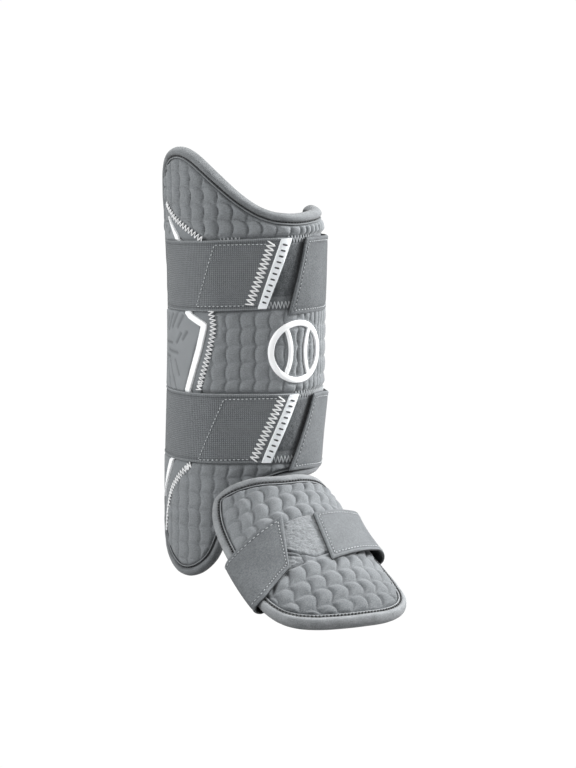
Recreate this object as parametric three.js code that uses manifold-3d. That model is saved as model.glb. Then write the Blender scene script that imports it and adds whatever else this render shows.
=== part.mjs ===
// Batter's leg guard: quilted shin shell and foot guard with edge tapes, calf straps and a foot strap.
// Millimetres, +Z up, toe towards -Y, outer side of the leg towards -X.
// The origin is on the leg's axis, midway between the two calf straps.
import * as THREE from "three";
import { mergeVertices } from "three/addons/utils/BufferGeometryUtils.js";
import Module from "manifold-3d";

// Driving sizes
const GAP = 0.3;
const WALL = 6;
const TRIM = 1;
const STRAP = { width: 49, thick: 1.4 };
const TAB_THICK = 1.8;
const TAPE = { thick: 1.2, overlap: 6, roll: 2.2, gap: 0.5 };
const SHIN_ROWS = 10;
const FOOT = { toeOut: 16, slope: 33, reach: 68, aside: -3, top: -83, rows: 9 };
const FLOOR = -165;

const rad = THREE.MathUtils.degToRad;
const lerp = THREE.MathUtils.lerp;
const steps = (n) => Array.from({ length: n + 1 }, (_, i) => i / n);

// Level section of the leg channel: radius by angle from the front, positive to the outer side
const section = [
  { angle: -180, radius: 62 },
  { angle: -140, radius: 62 },
  { angle: -100, radius: 58 },
  { angle: -60, radius: 55.8 },
  { angle: -30, radius: 56.3 },
  { angle: -5, radius: 57.3 },
  { angle: 10, radius: 56.3 },
  { angle: 25, radius: 51.4 },
  { angle: 40, radius: 49.4 },
  { angle: 55, radius: 51.4 },
  { angle: 65, radius: 53.3 },
  { angle: 90, radius: 55.8 },
  { angle: 130, radius: 55.8 },
  { angle: 160, radius: 59.5 },
];

// Lean of the channel towards its outer rear side, by height
const lean = [
  { z: -160, shift: 3.6 },
  { z: -80, shift: 2.6 },
  { z: 0, shift: 0 },
  { z: 50, shift: 0.1 },
  { z: 100, shift: 1.8 },
  { z: 145, shift: 3.6 },
];

// Edge of the shin shell: lowest and highest point by angle
const shinEdge = [
  { angle: -85, bottom: -66, top: 86 },
  { angle: -82, bottom: -75, top: 95 },
  { angle: -75, bottom: -80.5, top: 100.5 },
  { angle: -60, bottom: -83, top: 102 },
  { angle: -40, bottom: -84, top: 100.3 },
  { angle: -20, bottom: -85.3, top: 98 },
  { angle: 0, bottom: -85.5, top: 96.4 },
  { angle: 15, bottom: -85.5, top: 97.5 },
  { angle: 25, bottom: -86, top: 100.7 },
  { angle: 35, bottom: -87, top: 105.8 },
  { angle: 45, bottom: -92, top: 112.3 },
  { angle: 52, bottom: -107, top: 117.8 },
  { angle: 60, bottom: -131, top: 124.5 },
  { angle: 70, bottom: -147.5, top: 133 },
  { angle: 80, bottom: -154.3, top: 139.8 },
  { angle: 92, bottom: -157.5, top: 142.6 },
  { angle: 104, bottom: -155.5, top: 140.2 },
  { angle: 114, bottom: -149, top: 134 },
  { angle: 122, bottom: -138, top: 124 },
  { angle: 129, bottom: -122, top: 108 },
  { angle: 135, bottom: -100, top: 84 },
  { angle: 138, bottom: -75, top: 55 },
];

// Side shield: lowest and highest point by angle
const shieldEdge = [
  { angle: 63.6, low: 17, high: 25 },
  { angle: 65.5, low: 10, high: 38 },
  { angle: 67.5, low: 1.5, high: 55 },
  { angle: 71, low: -13.5, high: 78 },
  { angle: 74, low: -26, high: 82 },
  { angle: 77.5, low: -50, high: 84 },
  { angle: 81, low: -76, high: 86 },
  { angle: 86, low: -80.5, high: 89 },
  { angle: 92, low: -84.5, high: 92 },
  { angle: 98, low: -91, high: 95.5 },
  { angle: 104, low: -99, high: 99 },
  { angle: 110, low: -108, high: 102 },
  { angle: 115, low: -115, high: 104 },
  { angle: 119, low: -118, high: 98 },
  { angle: 124, low: -109, high: 84 },
  { angle: 127.5, low: -93, high: 63 },
  { angle: 129.5, low: -70, high: 35 },
];

// White stripe along the shield: its middle line
const stripeLine = [
  { angle: 105, z: 96 },
  { angle: 94, z: 82 },
  { angle: 86, z: 54 },
  { angle: 78.5, z: 30 },
  { angle: 71, z: 21.5 },
  { angle: 75.5, z: 4 },
  { angle: 84.5, z: -25 },
  { angle: 93, z: -52 },
  { angle: 102.5, z: -78 },
  { angle: 112, z: -94 },
  { angle: 119, z: -106 },
];
const STRIPE_WIDTH = 4.4;

// Calf straps: middle height, rise towards the inner side, slanted ends as angles at lower and upper edge
const straps = [
  { name: "upper", z: 57, rise: 2.2, end: { low: 26, high: 9 }, tab: { low: 9.8, high: -3.4 } },
  { name: "lower", z: -50.7, rise: 0, end: { low: 22.5, high: 4.5 }, tab: { low: 10, high: -9.2 } },
];
const LABEL_ANGLE = 7;
const LANDING = { from: -42, to: 60 };
const STRAP_TURN = 288;
const TAB_END = -86;

// Height of a strap's inner face above the shell, by angle round the leg
const strapLift = [
  { angle: 4, lift: 1.6 },
  { angle: 50, lift: 1.6 },
  { angle: 70, lift: 2.45 },
  { angle: 140, lift: 2.45 },
  { angle: 165, lift: 2.1 },
  { angle: 290, lift: 2.1 },
];

// Height of a tab's inner face above the shell, by angle back from its free edge
const tabLift = [
  { back: 0, lift: 3 },
  { back: 12, lift: 2.1 },
  { back: 45, lift: 2 },
  { back: 60, lift: 3.9 },
  { back: 95, lift: 3.9 },
];

// Foot guard: crosswise bend as 1 / radius, by distance along its ridge
const footBend = [
  { along: -20, bend: 0.0233 },
  { along: 7, bend: 0.0179 },
  { along: 46, bend: 0.0167 },
  { along: 97, bend: 0.0111 },
  { along: 112, bend: 0.0089 },
  { along: 142, bend: 0.0056 },
];

// Edge of the foot guard: rear and front end by distance from its ridge, outer side negative
const footEdge = [
  { aside: -58.8, rear: 24, front: 36 },
  { aside: -58, rear: 16, front: 48 },
  { aside: -55.5, rear: 5, front: 72 },
  { aside: -52, rear: -4, front: 95 },
  { aside: -49, rear: -7, front: 107 },
  { aside: -44, rear: -8, front: 117.5 },
  { aside: -36.5, rear: -7.3, front: 125 },
  { aside: -28, rear: -5.7, front: 129.5 },
  { aside: -17, rear: -3.3, front: 132.6 },
  { aside: 0, rear: 0, front: 134.2 },
  { aside: 17, rear: -3.3, front: 133.4 },
  { aside: 28, rear: -5.7, front: 131.5 },
  { aside: 38, rear: -7.5, front: 127.5 },
  { aside: 46, rear: -8, front: 121.5 },
  { aside: 52, rear: -6.5, front: 113 },
  { aside: 56, rear: -2, front: 102 },
  { aside: 59, rear: 6, front: 86 },
  { aside: 61, rear: 16, front: 66 },
  { aside: 61.8, rear: 24, front: 46 },
];

// Loop patch on the foot guard: rear and front end by distance from the ridge
const patchEdge = [
  { aside: -36, rear: 46, front: 60 },
  { aside: -24, rear: 44.5, front: 65 },
  { aside: -15, rear: 43, front: 71 },
  { aside: -6, rear: 41, front: 77 },
  { aside: 6, rear: 38.5, front: 75 },
  { aside: 18, rear: 36, front: 69 },
  { aside: 30, rear: 33, front: 63 },
];

// Foot tabs: inner end and fold line, as distances from the ridge and along it at the rear and front corner
const footTabs = [
  {
    name: "foot_tab_outer",
    side: -1,
    inner: { rear: { aside: 13, along: 38 }, front: { aside: 24, along: 83 } },
    fold: { rear: 51, front: 102 },
    lift: 0,
  },
  {
    name: "foot_tab_inner",
    side: 1,
    inner: { rear: { aside: 8, along: 39.5 }, front: { aside: 5, along: 83 } },
    fold: { rear: 22, front: 63 },
    lift: 2.5,
  },
];

// Turn of a foot tab round the edge tape: distance past the shell's edge and offset of each face
const foldTurn = [
  { past: -12, innerAt: 2.2, outerAt: 4.2, spread: 0 },
  { past: -3, innerAt: 2.5, outerAt: 4.5, spread: 0 },
  { past: 3.2, innerAt: 0.6, outerAt: 2.2, spread: 1.2 },
  { past: 4.6, innerAt: -3, outerAt: -3, spread: 2 },
  { past: 3, innerAt: -6.8, outerAt: -8.4, spread: 1.2 },
  { past: -2, innerAt: -8.6, outerAt: -10.6, spread: 0 },
];

// Smooth curve through the rows of a table, one column against another
function smooth(rows, x, y) {
  const slope = (i) => {
    const a = rows[Math.max(i - 1, 0)];
    const b = rows[Math.min(i + 1, rows.length - 1)];
    return (b[y] - a[y]) / (b[x] - a[x]);
  };
  return (at) => {
    const clamped = THREE.MathUtils.clamp(at, rows[0][x], rows[rows.length - 1][x]);
    const found = rows.findIndex((row) => row[x] >= clamped);
    const i = Math.max(found, 1);
    const span = rows[i][x] - rows[i - 1][x];
    const t = (clamped - rows[i - 1][x]) / span;
    const rise = rows[i][y] - rows[i - 1][y];
    const m0 = slope(i - 1) * span;
    const m1 = slope(i) * span;
    return rows[i - 1][y] + m0 * t + (3 * rise - 2 * m0 - m1) * t * t + (m0 + m1 - 2 * rise) * t * t * t;
  };
}

const ring = [-360, 0, 360].flatMap((turn) => section.map((row) => ({ ...row, angle: row.angle + turn })));
const sectionRadius = smooth(ring, "angle", "radius");
const leanShift = smooth(lean, "z", "shift");
const bendAt = smooth(footBend, "along", "bend");
const leanWay = new THREE.Vector3(-Math.cos(rad(40)), Math.sin(rad(40)), 0);

// Point on the leg channel: angle, height and offset from the shell's outer face
function leg(angle, z, off) {
  const r = sectionRadius(angle) + off;
  const p = new THREE.Vector3(-r * Math.sin(rad(angle)), -r * Math.cos(rad(angle)), z);
  return p.addScaledVector(leanWay, leanShift(z));
}

const toeWay = new THREE.Vector3(-Math.sin(rad(FOOT.toeOut)), -Math.cos(rad(FOOT.toeOut)), 0);
const acrossWay = new THREE.Vector3(Math.cos(rad(FOOT.toeOut)), -Math.sin(rad(FOOT.toeOut)), 0);
const upWay = new THREE.Vector3(0, 0, 1);
const ridgeWay = toeWay.clone().multiplyScalar(Math.cos(rad(FOOT.slope)));
ridgeWay.addScaledVector(upWay, -Math.sin(rad(FOOT.slope)));
const liftWay = toeWay.clone().multiplyScalar(Math.sin(rad(FOOT.slope)));
liftWay.addScaledVector(upWay, Math.cos(rad(FOOT.slope)));
const ridgeStart = new THREE.Vector3()
  .addScaledVector(toeWay, FOOT.reach)
  .addScaledVector(acrossWay, FOOT.aside)
  .addScaledVector(upWay, FOOT.top);

// Point on the foot guard: distance from the ridge along the surface, distance along the ridge, offset
function foot(aside, along, off) {
  const r = 1 / bendAt(along);
  const turn = aside / r;
  return ridgeStart
    .clone()
    .addScaledVector(ridgeWay, along)
    .addScaledVector(acrossWay, (r + off) * Math.sin(turn))
    .addScaledVector(liftWay, (r + off) * Math.cos(turn) - r);
}

// Closed body over two grids of points, the inner and the outer face
function closed(inner, outer) {
  const rows = inner.length;
  const cols = inner[0].length;
  const points = [...inner.flat(), ...outer.flat()];
  const faces = [];
  const at = (layer, i, j) => layer * rows * cols + i * cols + j;
  const quad = (a, b, c, d) => faces.push(a, b, c, a, c, d);
  for (let i = 0; i + 1 < rows; i++)
    for (let j = 0; j + 1 < cols; j++) {
      quad(at(1, i, j), at(1, i + 1, j), at(1, i + 1, j + 1), at(1, i, j + 1));
      quad(at(0, i, j), at(0, i, j + 1), at(0, i + 1, j + 1), at(0, i + 1, j));
    }
  for (let i = 0; i + 1 < rows; i++) {
    quad(at(0, i, 0), at(0, i + 1, 0), at(1, i + 1, 0), at(1, i, 0));
    quad(at(1, i, cols - 1), at(1, i + 1, cols - 1), at(0, i + 1, cols - 1), at(0, i, cols - 1));
  }
  for (let j = 0; j + 1 < cols; j++) {
    quad(at(1, 0, j), at(1, 0, j + 1), at(0, 0, j + 1), at(0, 0, j));
    quad(at(0, rows - 1, j), at(0, rows - 1, j + 1), at(1, rows - 1, j + 1), at(1, rows - 1, j));
  }
  return facing(points, faces);
}

// Geometry of the points and faces, turned round if its faces point inwards
function facing(points, faces) {
  let volume = 0;
  for (let k = 0; k < faces.length; k += 3) {
    const [a, b, c] = [points[faces[k]], points[faces[k + 1]], points[faces[k + 2]]];
    volume += a.dot(b.clone().cross(c));
  }
  if (volume < 0) faces.reverse();
  return new THREE.BufferGeometry().setFromPoints(points).setIndex(faces);
}

// Slab on a surface between two offsets, each a number or a function of the row and column
function slab(surface, grid, inner, outer) {
  const value = (off, i, j) => (typeof off === "function" ? off(i, j) : off);
  const level = (off) => grid.map((row, i) => row.map(([u, v], j) => surface(u, v, value(off, i, j))));
  return closed(level(inner), level(outer));
}

// Grid of places over a table: its rows across, and steps between two of its columns
const tableGrid = (rows, across, low, high, count) => {
  const from = smooth(rows, across, low);
  const to = smooth(rows, across, high);
  return rows.map((row) => {
    const at = row[across];
    return steps(count).map((t) => [at, lerp(from(at), to(at), t)]);
  });
};

// Flat hoop on the leg: a grid whose last row meets its first
function hoop(grid) {
  const n = grid.length - 1;
  const corners = grid.slice(0, n).map(([a, b]) => [
    leg(a[0], a[1], GAP),
    leg(b[0], b[1], GAP),
    leg(b[0], b[1], GAP + TRIM),
    leg(a[0], a[1], GAP + TRIM),
  ]);
  const faces = [];
  for (let i = 0; i < n; i++)
    for (let j = 0; j < 4; j++) {
      const [a, b] = [i * 4 + j, i * 4 + ((j + 1) % 4)];
      const [c, d] = [((i + 1) % n) * 4 + ((j + 1) % 4), ((i + 1) % n) * 4 + j];
      faces.push(a, b, c, a, c, d);
    }
  return facing(corners.flat(), faces);
}

// Edge of a grid as one closed loop
function loopOf(grid) {
  const last = grid.length - 1;
  const end = grid[0].length - 1;
  return [
    ...grid.map((row) => row[0]).slice(0, last),
    ...grid[last].slice(0, end),
    ...grid.map((row) => row[end]).reverse().slice(0, last),
    ...grid[0].slice().reverse().slice(0, end),
  ];
}

// Folded tape over the edge of a padded wall, swept round the loop on its surface
function tape(surface, loop) {
  const face = TAPE.gap + TAPE.thick;
  const profile = [
    { into: TAPE.overlap, off: face },
    { into: 1.5, off: face },
    { into: -0.65 * TAPE.roll, off: -0.12 * WALL },
    { into: -TAPE.roll, off: -0.5 * WALL },
    { into: -0.65 * TAPE.roll, off: -0.88 * WALL },
    { into: 1.5, off: -WALL - face },
    { into: TAPE.overlap, off: -WALL - face },
    { into: TAPE.overlap, off: -WALL - TAPE.gap },
    { into: -0.6, off: -WALL - TAPE.gap },
    { into: -0.6, off: TAPE.gap },
    { into: TAPE.overlap, off: TAPE.gap },
  ];
  const n = loop.length;
  const m = profile.length;
  let area = 0;
  loop.forEach(([u, v], i) => {
    const [u2, v2] = loop[(i + 1) % n];
    area += u * v2 - u2 * v;
  });
  const points = loop.flatMap(([u, v], i) => {
    const [ua, va] = loop[(i + n - 1) % n];
    const [ub, vb] = loop[(i + 1) % n];
    const perU = surface(u + 0.5, v, 0).distanceTo(surface(u - 0.5, v, 0));
    const before = new THREE.Vector2((u - ua) * perU, v - va).normalize();
    const after = new THREE.Vector2((ub - u) * perU, vb - v).normalize();
    const way = before.add(after).normalize();
    const inward = new THREE.Vector2(-way.y, way.x).multiplyScalar(Math.sign(area));
    return profile.map(({ into, off }) => surface(u + (into * inward.x) / perU, v + into * inward.y, off));
  });
  const faces = [];
  for (let i = 0; i < n; i++)
    for (let j = 0; j < m; j++) {
      const [a, b] = [i * m + j, i * m + ((j + 1) % m)];
      const [c, d] = [((i + 1) % n) * m + ((j + 1) % m), ((i + 1) % n) * m + j];
      faces.push(a, b, c, a, c, d);
    }
  return facing(points, faces);
}

const guard = new THREE.Group();
guard.name = "batters_leg_guard";
const looks = {
  quilt: { color: 0x7d8184, roughness: 0.85 },
  edge: { color: 0x787c7f, roughness: 0.8 },
  elastic: { color: 0x676b6e, roughness: 0.9 },
  pile: { color: 0x5a5e61, roughness: 1 },
  lightPile: { color: 0xa4a8ab, roughness: 1 },
  tab: { color: 0x8b8f92, roughness: 0.7 },
  shield: { color: 0x9ea2a6, roughness: 0.45 },
  white: { color: 0xf0f2f2, roughness: 0.5 },
  dark: { color: 0x2c2e30, roughness: 0.9 },
};
function add(name, look, geometry) {
  const mesh = new THREE.Mesh(geometry, new THREE.MeshStandardMaterial(looks[look]));
  mesh.name = name;
  guard.add(mesh);
}

// Shin shell and its tape
const shinBottom = smooth(shinEdge, "angle", "bottom");
const shinTop = smooth(shinEdge, "angle", "top");
const shinAngles = shinEdge.flatMap((row, i) => {
  const next = shinEdge[i + 1];
  return next ? [row.angle, (row.angle + next.angle) / 2] : [row.angle];
});
const shinGrid = shinAngles.map((angle) =>
  steps(SHIN_ROWS).map((t) => [angle, lerp(shinBottom(angle), shinTop(angle), t)]),
);
add("shin_shell", "quilt", slab(leg, shinGrid, -WALL, 0));
add("shin_binding", "edge", tape(leg, loopOf(shinGrid)));

// Side shield and its stripe
const columns = (angles, low, high, count) =>
  angles.map((angle) => steps(count).map((t) => [angle, lerp(low(angle), high(angle), t)]));
const shieldGrid = tableGrid(shieldEdge, "angle", "low", "high", 8);
add("side_shield", "shield", slab(leg, shieldGrid, GAP, GAP + TRIM));

const stripePoints = stripeLine.flatMap((row, i) => {
  const next = stripeLine[i + 1];
  const between = (t) => new THREE.Vector2(lerp(row.angle, next.angle, t), lerp(row.z, next.z, t));
  return next ? [between(0), between(1 / 3), between(2 / 3)] : [new THREE.Vector2(row.angle, row.z)];
});
const stripeGrid = stripePoints.map((at, i) => {
  const before = at.clone().sub(stripePoints[Math.max(i - 1, 0)]).normalize();
  const after = (stripePoints[i + 1] || at).clone().sub(at).normalize();
  const mean = before.clone().add(after).normalize();
  const half = STRIPE_WIDTH / 2 / Math.max(mean.dot(after), mean.dot(before), 0.6);
  return [-half, 0, half].map((side) => [at.x - side * mean.y, at.y + side * mean.x]);
});
add("shield_stripe", "white", slab(leg, stripeGrid, GAP + TRIM + GAP, GAP + TRIM + GAP + 0.6));

// Calf straps with their landings, labels and tabs
const liftAt = smooth(strapLift, "angle", "lift");
const tabLiftAt = smooth(tabLift, "back", "lift");
const run = (from, to, count) => steps(count).map((t) => lerp(from, to, t));
for (const { name, z, rise, end, tab } of straps) {
  const middle = (angle) => z + rise * Math.cos(rad(angle + 60));
  const height = (share) => (angle) => middle(angle) + (share - 0.5) * STRAP.width;
  const shareAt = (ends, angle) => THREE.MathUtils.clamp((ends.low - angle) / (ends.low - ends.high), 0, 1);

  const landing = columns(run(LANDING.from, LANDING.to, 22), height(0), height(1), 2);
  add(name + "_landing", "pile", slab(leg, landing, GAP, GAP + TRIM));

  const bandAngles = [...run(end.high + 0.5, end.low, 5), ...run(end.low, STRAP_TURN, 58).slice(1)];
  const band = columns(bandAngles, (angle) => height(shareAt(end, angle))(angle), height(1), 2);
  const under = (i) => liftAt(bandAngles[i]);
  add(name + "_strap", "elastic", slab(leg, band, under, (i) => under(i) + STRAP.thick));

  const label = run(0, 1, 10).map((share) =>
    run(0.8, 0.8 + LABEL_ANGLE, 2).map((aside) => {
      const angle = lerp(end.low, end.high, share) + aside;
      return [angle, height(lerp(0.01, 0.99, share))(angle)];
    }),
  );
  const labelFoot = (i, j) => liftAt(label[i][j][0]) + STRAP.thick + GAP;
  add(name + "_label", "white", slab(leg, label, labelFoot, (i, j) => labelFoot(i, j) + 0.5));

  const tabAngles = [...run(tab.low - 0.5, tab.high, 5), ...run(tab.high, TAB_END, 16).slice(1)];
  const tabGrid = columns(tabAngles, height(0), (angle) => height(shareAt(tab, angle))(angle), 2);
  const tabFoot = (i, j) => {
    const share = (j / 2) * shareAt(tab, tabAngles[i]);
    return tabLiftAt(lerp(tab.low, tab.high, share) - tabAngles[i]);
  };
  add(name + "_tab", "tab", slab(leg, tabGrid, tabFoot, (i, j) => tabFoot(i, j) + TAB_THICK));
}

// Foot guard and its tape
const footGrid = tableGrid(footEdge, "aside", "rear", "front", FOOT.rows);
add("foot_shell", "quilt", slab(foot, footGrid, -WALL, 0));
add("foot_binding", "edge", tape(foot, loopOf(footGrid)));
const patchGrid = tableGrid(patchEdge, "aside", "rear", "front", 2);
add("foot_landing", "lightPile", slab(foot, patchGrid, 0.45, 0.45 + TRIM));

// Distance of the foot guard's edge from its ridge, by place along it
function halfWidth(side) {
  const turned = footEdge.map((row) => ({ ...row, aside: row.aside * side }));
  const rows = turned.filter((row) => row.aside > 0);
  const both = [
    ...rows.map((row) => ({ along: row.front, aside: row.aside })),
    ...rows.map((row) => ({ along: row.rear, aside: row.aside })),
  ];
  const inside = both.filter((row) => row.along > 4 && row.along < 125);
  return smooth(inside.sort((a, b) => a.along - b.along), "along", "aside");
}

// Foot tabs, each from its inner end to the fold round the edge
const foldEnds = [];
for (const tab of footTabs) {
  const faces = ["innerAt", "outerAt"].map((key, layer) => {
    const column = (share) => {
      const corner = (name) => lerp(tab.inner.rear[name], tab.inner.front[name], share);
      const foldAlong = lerp(tab.fold.rear, tab.fold.front, share);
      const edge = halfWidth(tab.side)(foldAlong);
      const top = steps(6).map((t) => {
        const aside = lerp(corner("aside"), edge + foldTurn[0].past, t);
        const along = lerp(corner("along"), foldAlong, t);
        return foot(tab.side * aside, along, foldTurn[0][key] + tab.lift * t * t);
      });
      const turn = foldTurn.slice(1).map((row, k) => {
        const raised = tab.lift * Math.max(0, 1 - 0.25 * (k + 1));
        const out = row.past + (layer ? row.spread : 0) + 0.5 * raised;
        return foot(tab.side * (edge + out), foldAlong, row[key] + raised);
      });
      return [...top, ...turn];
    };
    const columns = steps(4).map(column);
    return columns[0].map((_, i) => columns.map((list) => list[i]));
  });
  add(tab.name, "tab", closed(faces[0], faces[1]));
  foldEnds.push(faces.map((grid) => grid[grid.length - 1]));
}

// Strap under the foot, from fold to fold, laid down to the floor in the middle
const soleFaces = [0, 1].map((layer) =>
  steps(16).map((t) =>
    steps(4).map((_, j) => {
      const from = foldEnds[0][layer][j];
      const to = foldEnds[1][layer][j];
      const inset = (GAP + 0.5) / from.distanceTo(to);
      const p = from.clone().lerp(to, lerp(inset, 1 - inset, t));
      const drop = Math.max(0, (from.z + to.z) / 2 - FLOOR - (layer ? 0 : 2));
      p.z -= drop * 4 * t * (1 - t);
      return p;
    }),
  ),
);
add("sole_strap", "dark", closed(soleFaces[0], soleFaces[1]));

// Hidden tongue from the inside of the shin shell to the underside of the foot guard, clear of both tapes
const TONGUE = { thick: 1.9, seat: 6.8, clear: 8.3 };
const tongueFaces = [TONGUE.thick, 0].map((under) => {
  const column = (share) => {
    const angle = lerp(FOOT.toeOut - 18, FOOT.toeOut + 18, share);
    const aside = lerp(16, -16, share);
    const [seat, clear] = [-TONGUE.seat - under, -TONGUE.clear - under];
    const high = [leg(angle, -55, seat), leg(angle, -72, clear)];
    const low = [foot(aside, 16, clear), foot(aside, 26, seat), foot(aside, 38, seat)];
    const from = leg(angle, -84, clear);
    const to = low[0];
    const bridge = steps(5).slice(0, 5).map((t) => {
      const curve = new THREE.CubicBezierCurve3(
        from,
        from.clone().addScaledVector(upWay, -16),
        to.clone().addScaledVector(ridgeWay, -13),
        to,
      );
      return curve.getPoint(t);
    });
    return [...high, ...bridge, ...low];
  };
  const columns = steps(6).map(column);
  return columns[0].map((_, i) => columns.map((list) => list[i]));
});
add("ankle_tongue", "edge", closed(tongueFaces[0], tongueFaces[1]));

// Raised emblem: a ring with two bowed bars, joined into one body
const EMBLEM = { angle: 1, z: 3, radius: 20, ring: 4, bar: 3, apart: 6, bow: 5.5 };
const emblemPlace = (x, y) => [EMBLEM.angle - x, EMBLEM.z + y];
const ringGrid = steps(40).map((t) =>
  [-0.5, 0.5].map((side) => {
    const r = EMBLEM.radius + side * EMBLEM.ring;
    return emblemPlace(r * Math.cos(2 * Math.PI * t), r * Math.sin(2 * Math.PI * t));
  }),
);
const barGrid = (way) =>
  steps(10).map((t) => {
    const y = lerp(-0.85, 0.85, t) * EMBLEM.radius;
    const x = EMBLEM.apart + EMBLEM.bow * (y / EMBLEM.radius) ** 2;
    return [-0.5, 0.5].map((side) => emblemPlace(way * x + side * EMBLEM.bar, y));
  });
const wasm = await Module();
wasm.setup();
const bodyOf = (geometry) => {
  const merged = mergeVertices(geometry, 1e-3);
  return new wasm.Manifold(
    new wasm.Mesh({
      numProp: 3,
      vertProperties: merged.getAttribute("position").array,
      triVerts: new Uint32Array(merged.index.array),
    }),
  );
};
const raised = (grid) => slab(leg, grid, GAP, GAP + TRIM);
const bars = [-1, 1].map((way) => bodyOf(raised(barGrid(way))));
const emblemBody = bars.reduce((body, bar) => body.add(bar), bodyOf(hoop(ringGrid)));
const emblemMesh = emblemBody.getMesh();
const emblem = new THREE.BufferGeometry()
  .setAttribute("position", new THREE.BufferAttribute(emblemMesh.vertProperties, 3))
  .setIndex(new THREE.BufferAttribute(emblemMesh.triVerts, 1));
add("front_emblem", "white", emblem);

export default guard;
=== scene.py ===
"""Batter's leg guard: quilted shells, edge tapes, elastic straps, tabs and stitching over the solids."""
import math

import bmesh
import bpy
import numpy as np
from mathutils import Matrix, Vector


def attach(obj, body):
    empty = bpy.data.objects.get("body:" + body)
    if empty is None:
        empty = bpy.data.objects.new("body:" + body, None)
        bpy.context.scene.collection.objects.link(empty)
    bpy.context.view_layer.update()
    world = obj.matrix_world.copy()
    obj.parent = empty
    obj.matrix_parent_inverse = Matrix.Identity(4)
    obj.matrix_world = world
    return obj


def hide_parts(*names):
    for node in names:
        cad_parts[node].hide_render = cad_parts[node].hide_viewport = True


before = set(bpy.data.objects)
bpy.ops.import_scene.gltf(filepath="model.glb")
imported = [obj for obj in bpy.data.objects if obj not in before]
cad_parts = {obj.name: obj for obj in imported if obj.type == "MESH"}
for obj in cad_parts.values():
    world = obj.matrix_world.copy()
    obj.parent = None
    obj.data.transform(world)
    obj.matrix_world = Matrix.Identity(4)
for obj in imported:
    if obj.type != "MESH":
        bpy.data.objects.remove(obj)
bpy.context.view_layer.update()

# Sizes in millimetres and turns, as in the part's source
MM = 0.001
WALL = 6
STRAP_WIDTH = 49
STRAP_THICK = 1.4
TAB_THICK = 1.8
TAB_WIDTH = 53
FLOOR = -165
FOOT_TOE_OUT = math.radians(16)
FOOT_SLOPE = math.radians(33)
LEAN_TURN = math.radians(40)
# Start of the foot's ridge: towards the toe, across and up
RIDGE_START = (68, -3, -83)

# Leg section: angle from the front, positive to the outer side; radius
SECTION = [
    (-180, 62), (-140, 62), (-100, 58), (-60, 55.8), (-30, 56.3), (-5, 57.3), (10, 56.3),
    (25, 51.4), (40, 49.4), (55, 51.4), (65, 53.3), (90, 55.8), (130, 55.8), (160, 59.5),
]
# Lean of the leg: height; shift
LEAN = [(-160, 3.6), (-80, 2.6), (0, 0), (50, 0.1), (100, 1.8), (145, 3.6)]
# How far the inner ends of the shin turn in
INNER_CURL = 5
# Shin shell edge: angle; bottom; top
SHIN_EDGE = [
    (-85, -66, 74), (-82, -75, 84), (-75, -80.5, 94), (-60, -83, 101), (-40, -84, 100.3),
    (-20, -85.3, 98), (0, -85.5, 96.4), (8, -86, 96.8), (15, -88, 97.5), (25, -92, 100.7), (35, -96, 105.8),
    (45, -106, 112.3), (52, -122, 117.8), (60, -141, 124.5), (70, -151.3, 133), (78, -155.3, 138.6),
    (85, -156.7, 141.6), (92, -156, 142.6), (98, -153.5, 142), (104, -150.3, 140.2), (114, -143, 134),
    (122, -133, 124), (129, -119, 108), (135, -98.5, 84), (138, -75, 55),
]
# Side shield with its border: angle; low; high
SHIELD_EDGE = [
    (63.6, 17, 25), (65.5, 10, 38), (67.5, 1.5, 55), (71, -13.5, 78), (74, -26, 82),
    (77.5, -50, 84), (81, -76, 86), (86, -80.5, 89), (92, -84.5, 92), (98, -91, 95.5),
    (104, -100, 99), (110, -110.5, 102), (115, -121.5, 104), (119, -127, 98), (124, -117.5, 84),
    (127.5, -100, 63), (129.5, -75, 35),
]
# Rear edge of the moulded panel: height; angle
PANEL_REAR = [
    (-112, 120), (-104, 124), (-90, 127), (-70, 128.6), (35, 128.6), (63, 126.8), (84, 122), (97, 114),
]
# Moulded grooves of the panel: angle, height, half length and tilt of each
PANEL_CUTS = [
    (93, 23, 7, -52), (100, 24, 9, -52), (108, 22, 9, -52), (116, 20, 8, -52), (88, 13, 5, -52),
    (95, 11, 6, -52), (113, 7, 9, 0), (104, 1, 9, 4), (116, -3, 8, 4), (97, -10, 7, 62),
    (105, -13, 9, 62), (113, -12, 9, 62), (121, -11, 8, 62), (100, -21, 6, 62), (109, -22, 6, 62),
    (110, 91, 5, -52), (104, 87, 5, -52), (108, -86, 6, 62), (114, -90, 6, 62), (104, -80, 5, 62),
]
# White stripe: height; angle of its middle line, with its bend in row STRIPE_BEND
STRIPE = [
    (-106, 119), (-94, 112), (-78, 102.5), (-52, 93), (-25, 84.5), (4, 75.5), (21.5, 71),
    (27.5, 82.5), (33, 88), (54, 91), (82, 94), (96, 105),
]
STRIPE_BEND = 6
STRIPE_WIDTH = 4.4
# Zigzag seams round the shield: angle; height
SHIELD_SEAMS = [
    [(112, 105.3), (97, 95.2), (81, 86.4), (71, 80.4)],
    [(66.5, 32), (64.4, 20.6), (67.4, 4), (75.5, -24.5)],
    [(80, -77), (92, -87), (104, -100.5), (110.5, -113), (114.5, -123.5), (116.8, -131)],
]
# Foot bend: along the ridge; 1 / radius
FOOT_BEND = [(-20, 0.0233), (7, 0.0179), (46, 0.0167), (97, 0.0111), (112, 0.0089), (142, 0.0056)]
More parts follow.
